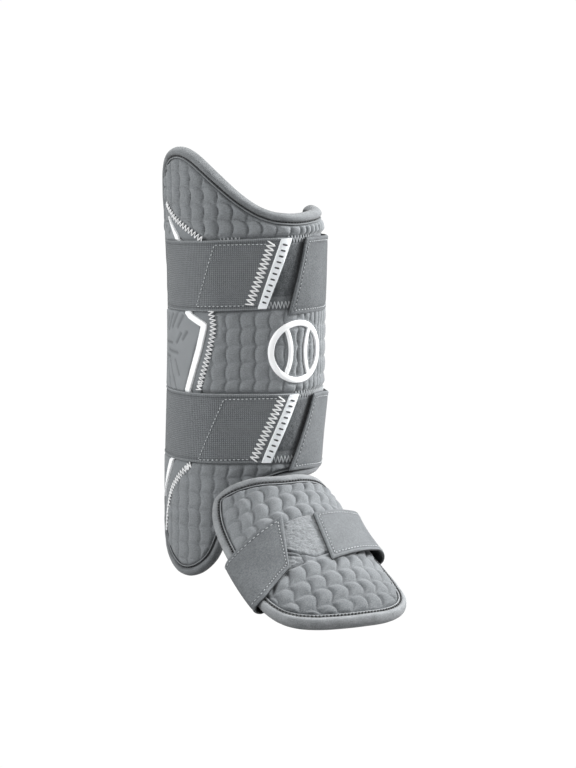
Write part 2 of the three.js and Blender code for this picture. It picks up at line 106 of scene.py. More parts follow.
# Foot shell edge: aside, outer side negative; rear; front
FOOT_EDGE = [
    (-58.8, 24, 36), (-58, 16, 48), (-55.5, 5, 72), (-52, -4, 95), (-49, -7, 107), (-44, -8, 117.5),
    (-36.5, -7.3, 125), (-28, -5.7, 129.5), (-17, -3.3, 132.6), (0, 0, 134.2), (17, -3.3, 133.4),
    (28, -5.7, 131.5), (38, -7.5, 127.5), (46, -8, 121.5), (52, -6.5, 113), (56, -2, 102),
    (59, 6, 86), (61, 16, 66), (61.8, 24, 46),
]
# Loop patch on the foot: aside; rear; front
PATCH_EDGE = [
    (-36, 46, 60), (-24, 44.5, 65), (-15, 43, 71), (-6, 41, 77), (6, 38.5, 75), (18, 36, 69), (30, 33, 63),
]
# Lower corner of the patch, past the outer tab: aside; rear; front
FLAP_EDGE = [(-27, 68.5, 83.2), (-20, 72, 82), (-13.2, 75.6, 80.6)]
# Strap lift by angle, and tab lift by angle back from the free edge
STRAP_LIFT = [(4, 1.6), (50, 1.6), (70, 2.45), (140, 2.45), (165, 2.1), (290, 2.1)]
TAB_LIFT = [(0, 3.2), (12, 2.0), (45, 1.6), (62, 2.4), (95, 3.0)]
# Angles at which the band and its tab end on the inner side, and between which the landing lies
STRAP_TURN = 288
TAB_END = -86
LANDING_TURN = (-26, 60)
# Label: angle from the strap's end, and width in degrees at its lower and upper end
LABEL_START = 0.8
LABEL_ANGLE = (6.6, 7.7)
# Emblem: angle and height of its middle, radius of its ring, half length of its bars
EMBLEM_ANGLE = 1
EMBLEM_HEIGHT = 3
EMBLEM_RADIUS = 20
EMBLEM_BAR = 17.6
# Sections of the emblem's ring and bars: across; offset
EMBLEM_RING = [(-2, 0.2), (-2, 1.7), (-1.6, 2.15), (0, 2.3), (1.6, 2.15), (2, 1.7), (2, 0.2)]
EMBLEM_STROKE = [(-1.5, 0.2), (-1.5, 1.6), (-1, 1.95), (0, 2.1), (1, 1.95), (1.5, 1.6), (1.5, 0.2)]
# Each calf strap: middle height, rise, slanted ends of band and tab at the lower and upper edge, dashed box
# and white seam as (angle, height), how far its tab sits lower at the free end and at the far end, tone of
# its tab, and the landing's zigzag rows as height from the middle and the two end angles
# The upper tab's lower tone is painted shade: both tabs are the same cloth
STRAPS = {
    "upper": dict(
        z=57, rise=2.2, end=(23.6, 4.2), tab=(10.2, -5.8),
        box=((62, 77), (77, 34.5)), seam=((19.3, 79), (37.2, 35.4)),
        drop=(2.6, 3.4), tone=0.52, sewn=((-21.8, 0, 26), (23.2, -14, 8), (23.6, 43, 58)),
    ),
    "lower": dict(
        z=-50.7, rise=0, end=(18.3, -1.0), tab=(7, -13.6),
        box=((55.4, -30), (72.8, -73)), seam=((12.8, -28.8), (31.6, -73)),
        drop=(3.7, 7), tone=0.85, sewn=((-21.8, -2, 19), (23.4, -40, 3)),
    ),
}
# Foot tabs: side, inner corners (aside, along) at rear and front, fold line at rear and front, lift, tone
# The outer tab's lower tone is painted shade: both tabs are the same cloth
FOOT_TABS = {
    "foot_tab_outer": dict(side=-1, rear=(13, 38), front=(24, 83), fold=(51, 102), lift=0, tone=0.72),
    "foot_tab_inner": dict(side=1, rear=(8, 39.5), front=(5, 83), fold=(22, 63), lift=5.5, tone=0.88),
}
# Turn of a foot tab round the tape: past the edge; inner offset; outer offset; spread
FOLD_TURN = [
    (-12, 2.2, 4.2, 0), (-3, 2.5, 4.5, 0), (3.2, 0.6, 2.2, 1.2), (4.6, -3, -3, 2),
    (3, -6.8, -8.4, 1.2), (-2, -8.6, -10.6, 0),
]
# Distance of the stitches from the edge of a strap tab and of a foot tab
TAB_INSET = 3.2
FOOT_INSET = 3.4
# Hidden tongue: thickness, depth under a shell's face where it is seated and where it passes a tape
TONGUE_THICK = 1.9
TONGUE_SEAT = 6.8
TONGUE_CLEAR = 8.3
# Edge tape across its width: distance in from the shell's edge; offset from the shell's face
TAPE_FRONT = [
    (5.9, -0.4), (5.85, 0.7), (5.6, 1.15), (5.2, 1.2), (4.9, 0.75), (4.65, -0.1), (4.2, -0.35), (3.8, 0.1),
    (3.5, 0.95), (2.7, 1.7), (1.5, 2.05), (0.3, 1.7), (-0.7, 0.8), (-1.6, -0.7), (-2.1, -2.0), (-2.2, -3.0),
]
# Edge tape: distance in from the shell's edge; tone, with painted shade on its underside, in its stitched
# groove and at the lip's fold, and a painted highlight on its lip
TAPE_LIGHT_AND_SHADE = [
    (-2.2, 0.34), (-1.4, 0.45), (-0.2, 0.52), (1.5, 0.53), (3.1, 0.46), (3.5, 0.3),
    (3.8, 0.1), (4.65, 0.1), (4.9, 0.4), (5.1, 0.7), (5.6, 0.7), (5.9, 0),
]
# Width of the tape's body, which alone gets wider, and place of its stitched groove
TAPE_BODY = 3.5
TAPE_GROOVE = 4.25
# Quilting below, between and above the straps: lowest height; start round the leg; start in height;
# cell width; cell height; bow of its sides to the outer side; arch of its ends; strength of its level
# grooves; share of dome
QUILT_BANDS = [
    (-200, -0.6, -98.1, 10.0, 12.2, -1.9, 1.3, 0.95, 0.58),
    (-50.7, 0.3, 6.5, 10.05, 12.07, 1.7, 1.2, 0.55, 0.5),
    (57, 7.2, 92.8, 9.95, 11.2, -2.1, 1.8, 1.0, 0.62),
]
# How many times closer the columns stand on the inner side of the leg
INNER_GATHER = 1.85
# How far a strap presses the padding in: angle; depth
PRESS = [
    (-90, 1.3), (-45, 1.7), (0, 1.4), (40, 1.3), (75, 2.2), (110, 2.9), (135, 2.9), (160, 1.2), (290, 0.6),
]
# Spacing of the points round a shell's edge, and length over which its corners are worn round
EDGE_SPACING = 1.5
EDGE_WEAR = 2.5
# Stitches: how far their ends dip, and share of a thread's radius at its ends
STITCH_DIP = 0.25
THREAD_TIP = 0.35

# Camera in metres, at the photograph's viewing angle, with its focal length in pixels of the photograph
CAMERA_PLACE = (-0.7487, -0.9382, 0.128)
CAMERA_TURN = (math.radians(82.7), 0, math.radians(-40))
SENSOR_WIDE = 27
SENSOR_TALL = 36
FOCAL_PIXELS = 1666
PHOTO_TALL = 768
# Soft lights: place, size and energy; and the place that they look at
LAMPS = {
    "right light": ((0.95, -0.7, 0.6), 0.5, 33),
    "left light": ((-1.0, 0.2, 0.4), 0.6, 8),
    "top light": ((0.2, 0.3, 1.2), 0.6, 18),
}
LAMP_AIM = (-0.02, -0.04, 0)
WHITE = (1, 1, 1, 1)
WHITE_LEVEL = 1.02
WORLD_LEVEL = 0.48
FLOOR_REACH = 3
FLOOR_DROP = 0.0025


def lerp(a, b, t):
    return a + (b - a) * t


def blur(value, low, high):
    """Smooth step from 0 at low to 1 at high."""
    t = np.clip((value - low) / (high - low), 0, 1)
    return t * t * (3 - 2 * t)


def bell(value, middle, width):
    """Smooth bump, 1 at its middle."""
    return np.exp(-(((value - middle) / width) ** 2))


def pairs(u, v):
    """Rows of (u, v)."""
    return np.stack(np.broadcast_arrays(u, v), -1)


def unit(ways):
    return ways / np.linalg.norm(ways, axis=-1, keepdims=True)


def left_of(ways):
    """Unit directions to the left of rows of (u, v) directions."""
    ways = unit(ways)
    return pairs(-ways[:, 1], ways[:, 0])


def lengths(path):
    """Length along a path up to each of its points."""
    return np.concatenate([[0], np.cumsum(np.linalg.norm(np.diff(path, axis=0), axis=1))])


def curve(rows):
    """Smooth curve through rows of two columns, for numbers and arrays."""
    x, y = np.array(list(rows), float).T
    last = len(x) - 1
    after = np.minimum(np.arange(last + 1) + 1, last)
    before = np.maximum(np.arange(last + 1) - 1, 0)
    slope = (y[after] - y[before]) / (x[after] - x[before])

    def at(value):
        value = np.clip(value, x[0], x[-1])
        i = np.clip(np.searchsorted(x, value), 1, last)
        span = x[i] - x[i - 1]
        t = (value - x[i - 1]) / span
        rise = y[i] - y[i - 1]
        m0, m1 = slope[i - 1] * span, slope[i] * span
        return y[i - 1] + m0 * t + (3 * rise - 2 * m0 - m1) * t**2 + (m0 + m1 - 2 * rise) * t**3

    return at


radius_at = curve([(angle + turn, r) for turn in (-360, 0, 360) for angle, r in SECTION])
lean_at = curve(LEAN)
bend_at = curve(FOOT_BEND)
press_at = curve(PRESS)
strap_lift = curve(STRAP_LIFT)
tab_lift = curve(TAB_LIFT)
toe_way = np.array([-math.sin(FOOT_TOE_OUT), -math.cos(FOOT_TOE_OUT), 0])
across_way = np.array([math.cos(FOOT_TOE_OUT), -math.sin(FOOT_TOE_OUT), 0])
up_way = np.array([0, 0, 1.0])
ridge_way = toe_way * math.cos(FOOT_SLOPE) - up_way * math.sin(FOOT_SLOPE)
lift_way = toe_way * math.sin(FOOT_SLOPE) + up_way * math.cos(FOOT_SLOPE)
ridge_start = sum(size * way for size, way in zip(RIDGE_START, (toe_way, across_way, up_way)))


def curl(angle, z):
    """How far the inner ends of the shin turn in at the top and the bottom."""
    return INNER_CURL * blur(-angle, 22, 60) * (blur(z, 84, 101) + blur(-z, 68, 85))


def leg(angle, z, off):
    """Point on the leg channel: angle, height and offset from the shell's outer face."""
    angle, z, off = np.broadcast_arrays(np.asarray(angle, float), z, off)
    r = radius_at(angle) + off - curl(angle, z)
    shift = lean_at(z)
    x = -r * np.sin(np.radians(angle)) - shift * math.cos(LEAN_TURN)
    y = -r * np.cos(np.radians(angle)) + shift * math.sin(LEAN_TURN)
    return np.stack([x, y, z], axis=-1)


def foot(aside, along, off):
    """Point on the foot guard: distance from the ridge along the surface, along the ridge, offset."""
    aside, along, off = np.broadcast_arrays(np.asarray(aside, float), along, off)
    r = 1 / bend_at(along)
    turn = aside / r
    out = ((r + off) * np.sin(turn))[..., None] * across_way
    high = ((r + off) * np.cos(turn) - r)[..., None] * lift_way
    return ridge_start + along[..., None] * ridge_way + out + high


# Length round the leg in mm from the front, against the angle
TURNS = np.arange(-180, 300.1, 0.5)
ROUND = lengths(leg(TURNS, 0, 0))
ROUND -= np.interp(0, TURNS, ROUND)


def round_of(angle):
    return np.interp(angle, TURNS, ROUND)


def angle_of(u):
    return np.interp(u, ROUND, TURNS)


def shin(u, v, off):
    """Point on the leg channel by its length round the leg."""
    return leg(angle_of(u), v, off)


def on_leg(rows):
    """Places on the shin from rows of angle and height."""
    return np.array([(round_of(angle), z) for angle, z in rows])


def edges(rows, place=float):
    """Outline of a table with two edges: its low and high edge as curves, and its two ends."""
    low, high = (curve([(place(row[0]), row[k]) for row in rows]) for k in (1, 2))
    return low, high, place(rows[0][0]), place(rows[-1][0])


def inside(outline, u, v):
    """Distance of places from the nearer of an outline's low and high edge, along v."""
    low, high = outline[:2]
    return np.minimum(v - low(u), high(u) - v)


def grid_over(outline, columns, rows):
    """Grid of places over an outline, with its ends on the edges."""
    low, high, start, end = outline
    u = np.linspace(start, end, columns)[:, None] * np.ones(rows)
    return u, lerp(low(u), high(u), np.linspace(0, 1, rows))


def noise(u, v, size, seed):
    """Smooth random height from -1 to 1 with features of about that size."""
    rng = np.random.default_rng(seed)
    table = rng.uniform(-1, 1, (64, 64))
    x, y = np.asarray(u) / size, np.asarray(v) / size
    i, j = np.floor(x).astype(int), np.floor(y).astype(int)
    s, t = blur(x - i, 0, 1), blur(y - j, 0, 1)
    low = lerp(table[i % 64, j % 64], table[(i + 1) % 64, j % 64], s)
    high = lerp(table[i % 64, (j + 1) % 64], table[(i + 1) % 64, (j + 1) % 64], s)
    return lerp(low, high, t)


def cells(u, v, pitch_u, pitch_v, bow, arch, groove, level, domed, knob=0.0):
    """Padded cells in columns with bowed sides: 0 in the grooves to 1 on top; u and v start at a corner."""
    column = u / pitch_u - np.floor(u / pitch_u)
    row = (v - arch * 4 * column * (1 - column)) / pitch_v
    row = row - np.floor(row)
    bulge = 4 * row * (1 - row)
    column = (u - bow * bulge) / pitch_u
    column = column - np.floor(column)
    side = np.minimum(column, 1 - column) * pitch_u
    end = np.minimum(row, 1 - row) * pitch_v
    depth = np.maximum(np.exp(-((side / groove) ** 1.3)), level * np.exp(-((end / groove) ** 1.3)))
    dome = 4 * column * (1 - column) * (0.35 + 0.65 * bulge)
    between = knob * bell(side, 0, 1.3) * bell(end, 0, 1.8)
    return np.clip(np.maximum(lerp(1 - depth, dome, domed), between), 0, 1)


def resample(path, spacing, closed=False):
    """Points at even spacing along a path of (u, v)."""
    if closed:
        path = np.vstack([path, path[:1]])
    length = lengths(path)
    count = max(2, int(round(length[-1] / spacing)))
    at = np.linspace(0, length[-1], count + 1)
    if closed:
        at = at[:-1]
    return np.stack([np.interp(at, length, column) for column in path.T], axis=-1)


def rounded(loop, width):
    """Closed loop with its corners worn round over about that width."""
    spacing = np.linalg.norm(loop[1] - loop[0])
    reach = int(3 * width / spacing)
    weight = np.exp(-0.5 * (np.arange(-reach, reach + 1) * spacing / width) ** 2)
    weight /= weight.sum()
    return sum(w * np.roll(loop, -k, axis=0) for k, w in zip(range(-reach, reach + 1), weight))


def edge_loop(outline):
    """Edge of a shell as a closed loop of (u, v) that runs anticlockwise."""
    low, high, start, end = outline
    u = np.linspace(start, end, 300)
    across = np.linspace(0, 1, 120)[1:-1]
    right = pairs(end, lerp(low(end), high(end), across))
    left = pairs(start, lerp(high(start), low(start), across))
    sides = np.vstack([pairs(u, low(u)), right, pairs(u, high(u))[::-1], left])
    return rounded(resample(sides, EDGE_SPACING, closed=True), EDGE_WEAR)


def distance_to(loop, u, v):
    """Distance of places from a loop."""
    found = []
    for part in np.array_split(pairs(np.ravel(u), np.ravel(v)), 60):
        gaps = part[:, None] - loop
        found.append(np.hypot(gaps[..., 0], gaps[..., 1]).min(axis=1))
    return np.concatenate(found).reshape(np.shape(u))


class Piece:
    """Points, faces and cloth coordinates of one piece."""

    def __init__(self, name):
        self.name = name
        self.points, self.faces, self.cloth, self.shade = [], [], [], []
        self.count = 0

    def put(self, points, u, v, face=0.0, shade=1.0):
        """Adds a block of points and gives back their numbers in the same shape."""
        shape = points.shape[:-1]
        marks = [np.broadcast_to(np.asarray(x, float), shape).reshape(-1) for x in (u, v, face, shade)]
        self.points.append(points.reshape(-1, 3))
        self.cloth.append(np.stack(marks[:3], -1))
        self.shade.append(marks[3])
        size = int(np.prod(shape))
        numbers = self.count + np.arange(size).reshape(shape)
        self.count += size
        return numbers

    def quads(self, numbers):
        a, b, c, d = numbers[:-1, :-1], numbers[1:, :-1], numbers[1:, 1:], numbers[:-1, 1:]
        self.faces.append(np.stack([a, b, c, d], -1).reshape(-1, 4))

    def slab(self, outer, inner, u, v, shade=1.0, step=1):
        """Closed body between two grids of points; the inner one keeps every step-th row and column."""
        shape = outer.shape[:-1]
        u, v = (np.broadcast_to(np.asarray(x, float), shape) for x in (u, v))
        few = (slice(None, None, step), slice(None, None, step))
        front = self.put(outer, u, v, 1.0, shade)
        back = self.put(inner[few], u[few], v[few], 0.0, 0.8)
        self.quads(front)
        self.quads(back[:, ::-1])
        for k in (0, -1):
            for edge, other in ((front[k], back[k]), (front[:, k], back[:, k])):
                strips = []
                for i in range(len(other) - 1):
                    strips.append([*edge[step * i : step * i + step + 1], other[i + 1], other[i]])
                self.faces.append(np.array(strips))

    def sweep(self, rings, u, v, shade=1.0):
        """Closed ring of closed outlines."""
        numbers = self.put(rings, u, v, 1.0, shade)
        numbers = np.concatenate([numbers, numbers[:, :1]], axis=1)
        self.quads(np.concatenate([numbers, numbers[:1]], axis=0))

    def thread(self, surface, u, v, lift, radius, sides):
        """Round thread with pointed ends along places on a surface, at a lift from it."""
        path = surface(u, v, lift)
        way = unit(np.gradient(path, axis=0))
        side = unit(np.cross(way, surface(u, v, lift + 1) - path))
        out = np.cross(side, way)
        size = np.full(len(path), float(radius))
        size[[0, -1]] *= THREAD_TIP
        turn = 2 * np.pi * np.arange(sides) / sides
        ring = np.cos(turn)[:, None] * side[:, None] + np.sin(turn)[:, None] * out[:, None]
        points = path[:, None] + size[:, None, None] * ring
        numbers = self.put(points, lengths(path)[:, None], turn * radius)
        self.quads(np.concatenate([numbers, numbers[:, :1]], axis=1))
        for end, flip in ((0, 1), (-1, -1)):
            self.faces.append(numbers[end][::flip][None])

    def make(self, finish, slot, replaces=(), sharp=60, lining=None):
        """Mesh object that rides on the guard; its inner faces may have a lining."""
        mesh = bpy.data.meshes.new(self.name)
        faces = [face for block in self.faces for face in block.tolist()]
        mesh.from_pydata((np.concatenate(self.points) * MM).tolist(), [], faces)
        bm = bmesh.new()
        bm.from_mesh(mesh)
        bmesh.ops.recalc_face_normals(bm, faces=bm.faces)
        bm.to_mesh(mesh)
        bm.free()
        marks = np.concatenate(self.cloth)
        cloth = mesh.attributes.new("cloth", "FLOAT_VECTOR", "POINT")
        cloth.data.foreach_set("vector", marks.astype(np.float32).ravel())
        shade = mesh.attributes.new("shade", "FLOAT", "POINT")
        shade.data.foreach_set("value", np.concatenate(self.shade).astype(np.float32))
        mesh.shade_smooth()
        mesh.set_sharp_from_angle(angle=math.radians(sharp))
        mesh.materials.append(finish)
        if lining:
            mesh.materials.append(lining)
            inner = np.concatenate([np.all(marks[block, 2] < 0.5, axis=1) for block in self.faces])
            mesh.polygons.foreach_set("material_index", inner.astype(np.int32))
        obj = bpy.data.objects.new(self.name, mesh)
        bpy.context.scene.collection.objects.link(obj)
        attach(obj, "root")
        if replaces:
            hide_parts(*replaces)
        return obj


def sheet(name, surface, u, v, high, low, shade=1.0, step=1):
    """Piece between two offsets from a surface."""
    piece = Piece(name)
    piece.slab(surface(u, v, high), surface(u, v, low), u, v, shade, step)
    return piece


def sewn(piece, surface, paths, off, pitch, length, radius):
    """Rows of single stitches along paths on a surface, each dipping at its ends."""
    span = np.linspace(-1, 1, 5)
    lift = off + radius - STITCH_DIP * np.abs(span) ** 3
    for path in paths:
        marks = resample(path, 0.25)
        total = np.linalg.norm(marks[1] - marks[0]) * (len(marks) - 1)
        at = np.linspace(0, total, len(marks))
        count = int(total / pitch)
        for k in range(count):
            s = (k + 0.5) * total / count + span / 2 * length
            u, v = (np.interp(s, at, column) for column in marks.T)
            piece.thread(surface, u, v, lift, radius, 5)
    return piece


def zigzag(piece, surface, paths, off, width, pitch, radius):
    """Zigzag stitches along paths on a surface."""
    t = np.linspace(0, 1, 6)
    lift = off + radius * (0.2 + 1.1 * np.sin(np.pi * np.clip(t, 0.04, 0.96)) ** 0.6)
    for path in paths:
        marks = resample(path, pitch / 2)
        swing = width / 2 * (-1) ** np.arange(len(marks))
        corners = marks + left_of(np.gradient(marks, axis=0)) * swing[:, None]
        for a, b in zip(corners[:-1], corners[1:]):
            piece.thread(surface, lerp(a[0], b[0], t), lerp(a[1], b[1], t), lift, radius, 6)
    return piece


class Wire:
    """A shader output that takes part in sums: each operator adds its own Math node."""

    def __init__(self, tree, socket):
        self.tree = tree
        self.socket = socket

    def math(self, operation, *values):
        node = self.tree.nodes.new("ShaderNodeMath")
        node.operation = operation
        for slot, value in zip(node.inputs, values):
            plug(self.tree, slot, value)
        return Wire(self.tree, node.outputs[0])

    def __add__(self, other):
        return self.math("ADD", self, other)

    def __sub__(self, other):
        return self.math("SUBTRACT", self, other)

    def __rsub__(self, other):
        return self.math("SUBTRACT", other, self)

    def __mul__(self, other):
        return self.math("MULTIPLY", self, other)

    __radd__ = __add__
    __rmul__ = __mul__

    def wave(self, length):
        """Sine of the value, once over each length."""
        return self.math("SINE", self * (2 * math.pi / length))

    def clipped(self):
        return self.math("MINIMUM", self.math("MAXIMUM", self, 0.0), 1.0)


def plug(tree, slot, value):
    """Sets a socket, or links it to a wire."""
    if isinstance(value, Wire):
        tree.links.new(value.socket, slot)
    else:
        slot.default_value = value


def grey(level, tint=1.0):
    """Linear colour of a cool grey that shows at that level from 0 to 255."""
    shades = [level - 3.2 * tint, level + 0.6 * tint, level + 3.4 * tint]
    linear = [((s / 255 + 0.055) / 1.055) ** 2.4 if s > 10.3 else s / 255 / 12.92 for s in shades]
    return (*linear, 1.0)


class Graph:
    """A node tree whose nodes all come from one method."""

    def __init__(self, tree):
        self.tree = tree

    def node(self, kind, settings, sockets, output=0):
        """Any node: its settings first, then the values or links of its sockets."""
        node = self.tree.nodes.new(kind)
        for key, value in settings.items():
            setattr(node, key, value)
        for key, value in sockets.items():
            plug(self.tree, node.inputs[key], value)
        return Wire(self.tree, node.outputs[output])

    def white_to_camera(self, kind, lit, output):
        """Plain white where the camera looks straight at it; everything else sees the lit shader."""
        white = self.node(kind, {}, {"Color": WHITE, "Strength": WHITE_LEVEL})
        straight = self.node("ShaderNodeLightPath", {}, {}, "Is Camera Ray")
        sockets = {0: straight, 1: Wire(self.tree, lit.outputs[0]), 2: white}
        look = self.node("ShaderNodeMixShader", {}, sockets)
        plug(self.tree, self.tree.nodes[output].inputs[0], look)


class Finish(Graph):
    """A material: fixed values sit on its shader, and what varies comes from its nodes."""

    def __init__(self, name, fixed):
        self.material = bpy.data.materials.new(name)
        self.material.use_nodes = True
        super().__init__(self.material.node_tree)
        self.shader = self.tree.nodes["Principled BSDF"]
        for slot, value in fixed.items():
            self.shader.inputs[slot].default_value = value

    def place(self):
        """Cloth coordinates in mm as one vector."""
        return self.node("ShaderNodeAttribute", {"attribute_name": "cloth"}, {}, "Vector")

    def axis(self, place, number):
        """One of the cloth coordinates: 0 along, 1 up, 2 face."""
        return self.node("ShaderNodeSeparateXYZ", {}, {0: place}, number)

    def shade(self):
        return self.node("ShaderNodeAttribute", {"attribute_name": "shade"}, {}, "Fac")

    def grain(self, place, scale, detail=3.0, rough=0.55):
        """Random grain from 0 to 1; scale is in features per mm."""
        sockets = {"Vector": place, "Scale": scale, "Detail": detail, "Roughness": rough}
        return self.node("ShaderNodeTexNoise", {}, sockets)

    def mixed(self, share, low, high):
        """Colour between two others, for a share kept from 0 to 1."""
        return self.node("ShaderNodeMix", {"data_type": "RGBA"}, {0: share.clipped(), 6: low, 7: high}, 2)

    def toned(self, tone, low, high, tint=1.0):
        """Grey between two levels, for a tone from 0 to 1."""
        return self.mixed(tone, grey(low, tint), grey(high, tint))

    def paint(self, colour, roughness, height, relief):
        """Links what varies to the shader."""
        bump = self.node("ShaderNodeBump", {}, {"Strength": 1.0, "Distance": relief, "Height": height})
        plug(self.tree, self.shader.inputs["Base Color"], colour)
        plug(self.tree, self.shader.inputs["Roughness"], roughness)
        plug(self.tree, self.shader.inputs["Normal"], bump)
        return self.material


def knit(name, low, high, relief=0.00022, pitch=0.9, fuzz=1.2):
    """Fine brushed knit over padding: darker in its grooves by painted shade, with a faint ribbed stitch.
    """
    finish = Finish(name, {"Sheen Weight": 0.25, "Sheen Roughness": 0.45, "Specular IOR Level": 0.25})
    place = finish.place()
    patch = finish.grain(place, 0.12, 2.0)
    fluff = finish.grain(place, 1.1, 4.0, 0.7)
    rib = finish.axis(place, 0).wave(pitch) * finish.axis(place, 1).wave(pitch * 0.8)
    tone = finish.shade() * 0.72 + (patch - 0.5) * 0.3 + (fluff - 0.5) * fuzz + rib * 0.07 + 0.06
    colour = finish.toned(tone, low, high)
    return finish.paint(colour, 0.82 + 0.14 * fluff, fluff * 0.8 + rib * 0.25, relief)


def webbed(name, low, high, pitch_u, pitch_v, relief=0.0003):
    """Woven elastic: rows of small raised floats in a fine grid."""
    finish = Finish(name, {"Sheen Weight": 0.15, "Specular IOR Level": 0.3})
    place = finish.place()
    slub = finish.grain(place, 0.35)
    fibre = finish.grain(place, 2.2, 3.0, 0.7)
    floats = finish.axis(place, 0).wave(pitch_u) * 0.5 + finish.axis(place, 1).wave(pitch_v) * 0.5
    tone = finish.shade() * 0.55 + floats * 0.2 + slub * 0.2 + fibre * 0.25 - 0.02
    colour = finish.toned(tone, low, high)
    return finish.paint(colour, 0.8 + fibre * 0.15, floats + fibre * 0.6, relief)


def pile(name, low, high, scale, relief=0.0006):
    """Brushed loop pile: soft speckle of lit and shaded loops."""
    finish = Finish(name, {"Sheen Weight": 0.3, "Sheen Roughness": 0.6, "Specular IOR Level": 0.1})
    place = finish.place()
    tufts = finish.grain(place, scale, 4.0, 0.7)
    clumps = finish.grain(place, scale * 0.3, 2.0)
    tone = (tufts - 0.5) * 1.7 + (clumps - 0.5) * 0.9 + finish.shade() * 0.55
    return finish.paint(finish.toned(tone, low, high), 0.9 + 0.1 * tufts, tufts + clumps, relief)


def smooth_tab(name, low, high, roughness=0.6):
    """Smooth synthetic with a fine grain and a dark underside."""
    finish = Finish(name, {"Specular IOR Level": 0.35, "Sheen Weight": 0.1})
    place = finish.place()
    grain = finish.grain(place, 0.75, 4.0, 0.75)
    broad = finish.grain(place, 0.06, 2.0)
    tone = finish.shade() * 0.7 + (broad - 0.5) * 0.4 + (grain - 0.5) * 1.7 + 0.09
    colour = finish.mixed(finish.axis(place, 2) * 2.2 - 1, grey(26), finish.toned(tone, low, high))
    return finish.paint(colour, roughness + 0.15 * grain, grain, 0.0004)


def moulded(name, low, high, roughness, tint=1.0):
    """Moulded plastic with a fine texture."""
    finish = Finish(name, {"Specular IOR Level": 0.5})
    place = finish.place()
    grain = finish.grain(place, 1.5, 2.0)
    broad = finish.grain(place, 0.06, 2.0)
    tone = finish.shade() * 0.8 + broad * 0.25 + grain * 0.1 - 0.12
    return finish.paint(finish.toned(tone, low, high, tint), roughness + 0.12 * grain, grain, 0.00006)


def spun(name, low, high, tint=1.0):
    """Sewing thread: twisted strands."""
    finish = Finish(name, {"Sheen Weight": 0.2})
    place = finish.place()
    strand = (finish.axis(place, 0) + finish.axis(place, 1) * 1.2).wave(0.9)
    colour = finish.toned(strand * 0.3 + 0.7, low, high, tint)
    return finish.paint(colour, 0.55 + 0.1 * strand, strand, 0.00008)


quilt_cloth = knit("quilted knit", 50, 144)
foot_cloth = knit("foot quilted knit", 54, 140)
lining_cloth = knit("lining", 70, 112, 0.0004, 1.5)
tape_cloth = knit("edge tape", 30, 172, 0.00018, 0.7, 0.7)
foot_tape = knit("foot edge tape", 30, 200, 0.00018, 0.7, 0.55)
border_cloth = knit("shield border", 92, 132, 0.0002, 0.8)
strap_elastic = webbed("strap elastic", 70, 150, 1.35, 1.35)
sole_webbing = webbed("sole webbing", 30, 62, 1.8, 1.4)
label_cloth = webbed("label weave", 232, 251, 0.9, 0.9, 0.00015)
dark_pile = pile("dark loop pile", 64, 112, 1.2)
light_pile = pile("light loop pile", 86, 147, 0.9, 0.0005)
tab_skin = smooth_tab("strap tab", 52, 112)
foot_tab_skin = smooth_tab("foot tab", 62, 118)
panel_plastic = moulded("shield panel", 40, 140, 0.55)
white_plastic = moulded("white trim", 236, 251, 0.4, 0.4)
white_thread = spun("white thread", 232, 252, 0.3)
grey_thread = spun("grey thread", 145, 205)
dark_thread = spun("dark thread", 10, 24)
tab_thread = spun("tab thread", 150, 204)
dash_thread = spun("strap thread", 165, 215)

# Camera, white world, white floor and soft lights
scene = bpy.context.scene
camera = bpy.data.objects.new("camera", bpy.data.cameras.new("camera"))
camera.location = CAMERA_PLACE
camera.rotation_euler = CAMERA_TURN
camera.data.sensor_fit = "VERTICAL"
camera.data.sensor_height = SENSOR_TALL
camera.data.sensor_width = SENSOR_WIDE
camera.data.lens = FOCAL_PIXELS / PHOTO_TALL * SENSOR_TALL
scene.collection.objects.link(camera)
scene.camera = camera
scene.view_settings.view_transform = "Standard"

scene.world = bpy.data.worlds.new("studio")
scene.world.use_nodes = True
studio = Graph(scene.world.node_tree)
soft_light = studio.tree.nodes["Background"]
soft_light.inputs["Color"].default_value = WHITE
soft_light.inputs["Strength"].default_value = WORLD_LEVEL
studio.white_to_camera("ShaderNodeBackground", soft_light, "World Output")

floor_mesh = bpy.data.meshes.new("floor")
signs = ((-1, -1), (1, -1), (1, 1), (-1, 1))
corners = [(x * FLOOR_REACH, y * FLOOR_REACH, FLOOR * MM - FLOOR_DROP) for x, y in signs]
floor_mesh.from_pydata(corners, [], [(0, 1, 2, 3)])
floor = bpy.data.objects.new("floor", floor_mesh)
scene.collection.objects.link(floor)
pale = Finish("pale floor", {"Base Color": (0.35, 0.35, 0.35, 1), "Roughness": 0.9})
pale.white_to_camera("ShaderNodeEmission", pale.shader, "Material Output")
floor_mesh.materials.append(pale.material)

for name, (place, size, energy) in LAMPS.items():
    light = bpy.data.lights.new(name, "AREA")
    light.size = size
    light.energy = energy
    lamp = bpy.data.objects.new(name, light)
    lamp.location = place
    lamp.rotation_euler = (Vector(LAMP_AIM) - Vector(place)).to_track_quat("-Z", "Y").to_euler()
    scene.collection.objects.link(lamp)

# Shin shell
shin_outline = edges(SHIN_EDGE, round_of)
shin_loop = edge_loop(shin_outline)
shield_outline = edges(SHIELD_EDGE, round_of)
shield_from, shield_to = shield_outline[2:]


def press(angle, z):
    """Depth to which a strap presses the padding in; the lower strap sits looser."""
    return press_at(angle) * lerp(0.65, 1, blur(z, -20, 20))


def bed(angle, z, off):
    """Point above the padding where a strap presses it in."""
    return leg(angle, z, off - press(angle, z))


def on_bed(u, v, off):
    """Point above the pressed padding, by its length round the leg."""
    return bed(angle_of(u), v, off)


def strap_middle(strap, angle):
    return strap["z"] + strap["rise"] * np.cos(np.radians(angle + 60))


